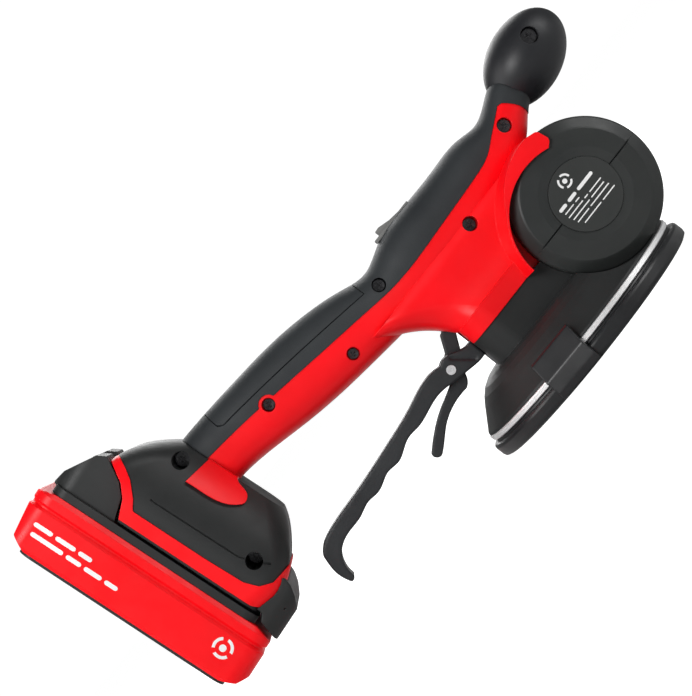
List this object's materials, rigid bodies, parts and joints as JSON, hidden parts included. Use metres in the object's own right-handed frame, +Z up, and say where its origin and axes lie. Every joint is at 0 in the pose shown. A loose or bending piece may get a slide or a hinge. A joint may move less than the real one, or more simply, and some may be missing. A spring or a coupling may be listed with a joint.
{
  "type": "tile vibrator",
  "caption": "Cordless hand tool with a motor drum, a lever-worked suction pad, a round front knob and a slide-on battery.",
  "frame": {"origin": "centre of the suction pad's underside, on the surface that the tool stands on", "axes": "+Z up, away from the surface; +X towards the round front knob, with the battery at -X; the release lever swings in the XZ plane"},
  "size_m": [0.3187, 0.1259, 0.1481],
  "materials": {
    "red_shell": "satin moulded",
    "grip_rubber": "fine texture",
    "black_plastic": "fine spark texture",
    "knob_plastic": "satin",
    "drum_plastic": "satin",
    "label": "printed foil",
    "pad_rubber": "moulded rubber",
    "bright_ring": "turned and polished",
    "lever_metal": "powder coat",
    "steel": "zinc plated",
    "screw_steel": "black oxide",
    "motor_steel": "plated",
    "brass": "plain",
    "cell": "sleeved",
    "board": "solder mask",
    "switch_clear": "smoked gloss",
    "switch_black": "gloss"
  },
  "bodies": {
    "housing": {"body_shell_left": "red_shell", "body_shell_right": "red_shell", "grip_overmould_left": "grip_rubber", "grip_overmould_right": "grip_rubber", "grip_inlay": "grip_rubber", "housing_screws": "screw_steel", "foot_shell_left": "black_plastic", "foot_shell_right": "black_plastic", "foot_band_left": "red_shell", "foot_band_right": "red_shell", "foot_end_stop": "black_plastic", "terminal_deck": "black_plastic", "tool_terminals": "brass", "base_housing": "black_plastic", "drum_cover_upper": "drum_plastic", "drum_cover_lower": "drum_plastic", "drum_label_left": "label", "drum_label_right": "label", "motor_can": "motor_steel", "motor_bearing_left": "motor_steel", "motor_bearing_right": "motor_steel", "knob_left": "knob_plastic", "knob_right": "knob_plastic", "knob_screw": "screw_steel", "clamp_ring": "bright_ring", "base_plate": "steel", "suction_pad": "pad_rubber", "pull_tab": "pad_rubber", "pad_membrane": "pad_rubber", "plate_bolts": "steel", "lever_pin": "steel", "catch_pin": "steel", "switch_body": "switch_black", "switch_bezel": "switch_clear", "switch_pin": "steel", "speed_controller": "board"},
    "lever": {"lever": "lever_metal", "trigger_rivet": "steel"},
    "trigger": {"trigger": "lever_metal"},
    "cup_core": {"pad_core": "pad_rubber", "lift_plate": "steel", "lift_rod": "steel", "lift_pin": "steel"},
    "rocker": {"switch_rocker": "switch_clear"},
    "rotor": {"motor_shaft": "steel", "motor_rotor": "motor_steel", "eccentric_weight_left": "steel", "eccentric_weight_right": "steel"},
    "battery": {"battery_case": "red_shell", "battery_base": "black_plastic", "battery_top": "black_plastic", "battery_cell_1": "cell", "battery_cell_2": "cell", "battery_cell_3": "cell", "battery_cell_4": "cell", "battery_cell_5": "cell", "cell_holder": "black_plastic", "battery_board": "board", "battery_contacts": "brass"},
    "battery_latch": {"battery_latch": "switch_black"}
  },
  "joints": [
    {"name": "lever_pivot", "type": "hinge", "parent": "housing", "child": "lever", "pos_m": [0.002, 0, 0.037], "axis": [0, 1, 0], "range_deg": [0, 7]},
    {"name": "cup_lift", "type": "slide", "parent": "housing", "child": "cup_core", "axis": [0, 0, 1], "range_m": [0, 0.00205]},
    {"name": "trigger_pivot", "type": "hinge", "parent": "lever", "child": "trigger", "pos_m": [-0.0472, 0, 0.0423], "axis": [0, 1, 0], "range_deg": [-4, 11], "stiffness_Nm_per_rad": 0.3},
    {"name": "switch_rock", "type": "hinge", "parent": "housing", "child": "rocker", "pos_m": [-0.013, 0, 0.099], "axis": [0, 1, 0], "range_deg": [-15, 0]},
    {"name": "rotor_spin", "type": "hinge", "parent": "housing", "child": "rotor", "pos_m": [0.0438, 0, 0.0446], "axis": [0, 1, 0], "continuous": true},
    {"name": "battery_slide", "type": "slide", "parent": "housing", "child": "battery", "axis": [-0.0837, 0, 0.9965], "range_m": [0, 0.08]},
    {"name": "latch_press", "type": "slide", "parent": "battery", "child": "battery_latch", "axis": [-0.9965, 0, -0.0837], "range_m": [0, 0.0018], "stiffness_N_per_m": 600}
  ],
  "couplings": [
    {"joint": "cup_lift", "follows": "lever_pivot", "m_per_rad": 0.016}
  ]
}
